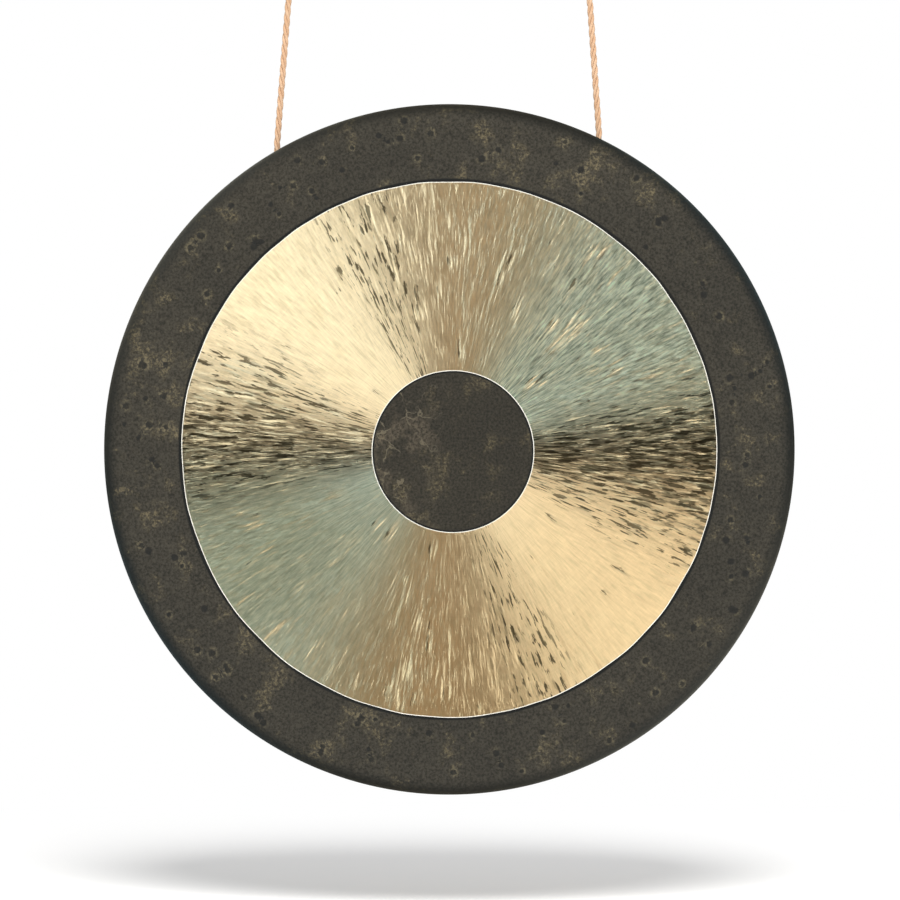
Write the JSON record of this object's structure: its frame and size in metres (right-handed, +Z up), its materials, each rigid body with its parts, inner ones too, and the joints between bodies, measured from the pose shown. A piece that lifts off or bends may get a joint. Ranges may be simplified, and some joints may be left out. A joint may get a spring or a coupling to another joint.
{
  "type": "tam tam gong",
  "caption": "Round hammered bronze gong with a lathed band, hung by two knotted cords from steel hooks to be struck.",
  "frame": {"origin": "on the front of the flat boss, on the axis of the gong's rim", "axes": "+Z up as the gong hangs, -Y the way the struck face looks, +X to the right of a player facing it"},
  "size_m": [0.66, 0.047, 0.8866],
  "materials": {
    "bronze": "hammered bell bronze: dark fired oxide on the boss, rim and back, finely lathed bare metal on the band",
    "cord": "three-strand twisted cord",
    "hook_steel": "bright zinc plate"
  },
  "bodies": {
    "hooks": {"left_hook": "hook_steel", "right_hook": "hook_steel"},
    "left_loop": {"left_cord_loop": "cord", "left_loop_knot": "cord"},
    "left_strand": {"left_cord_strand": "cord"},
    "left_stopper": {"left_stopper_knot": "cord"},
    "gong": {"gong": "bronze"},
    "right_loop": {"right_cord_loop": "cord", "right_loop_knot": "cord"},
    "right_strand": {"right_cord_strand": "cord", "right_stopper_knot": "cord"}
  },
  "joints": [
    {"name": "swing", "type": "hinge", "parent": "hooks", "child": "left_loop", "pos_m": [-0.14797, 0.033, 0.506], "axis": [1, 0, 0], "range_deg": [-20, 20]},
    {"name": "sway", "type": "hinge", "parent": "left_loop", "child": "left_strand", "pos_m": [-0.15314, 0.033, 0.4409], "axis": [0, 1, 0], "range_deg": [-6, 6]},
    {"name": "left_rim_turn", "type": "hinge", "parent": "left_strand", "child": "left_stopper", "pos_m": [-0.16546, 0.033, 0.28544], "axis": [0, 1, 0], "range_deg": [-6, 6]},
    {"name": "rock", "type": "hinge", "parent": "left_stopper", "child": "gong", "pos_m": [-0.16546, 0.033, 0.28544], "axis": [0.9993, 0, 0.0375], "range_deg": [-15, 15]},
    {"name": "right_swing", "type": "hinge", "parent": "hooks", "child": "right_loop", "pos_m": [0.12914, 0.033, 0.506], "axis": [1, 0, 0], "range_deg": [-20, 20]},
    {"name": "right_sway", "type": "hinge", "parent": "right_loop", "child": "right_strand", "pos_m": [0.13364, 0.033, 0.44086], "axis": [0, 1, 0], "range_deg": [-6.46, 6.46]}
  ],
  "couplings": [
    {"joint": "left_rim_turn", "follows": "sway", "ratio": -0.92549},
    {"joint": "right_swing", "follows": "swing", "ratio": 1},
    {"joint": "right_sway", "follows": "sway", "ratio": 1.075}
  ]
}
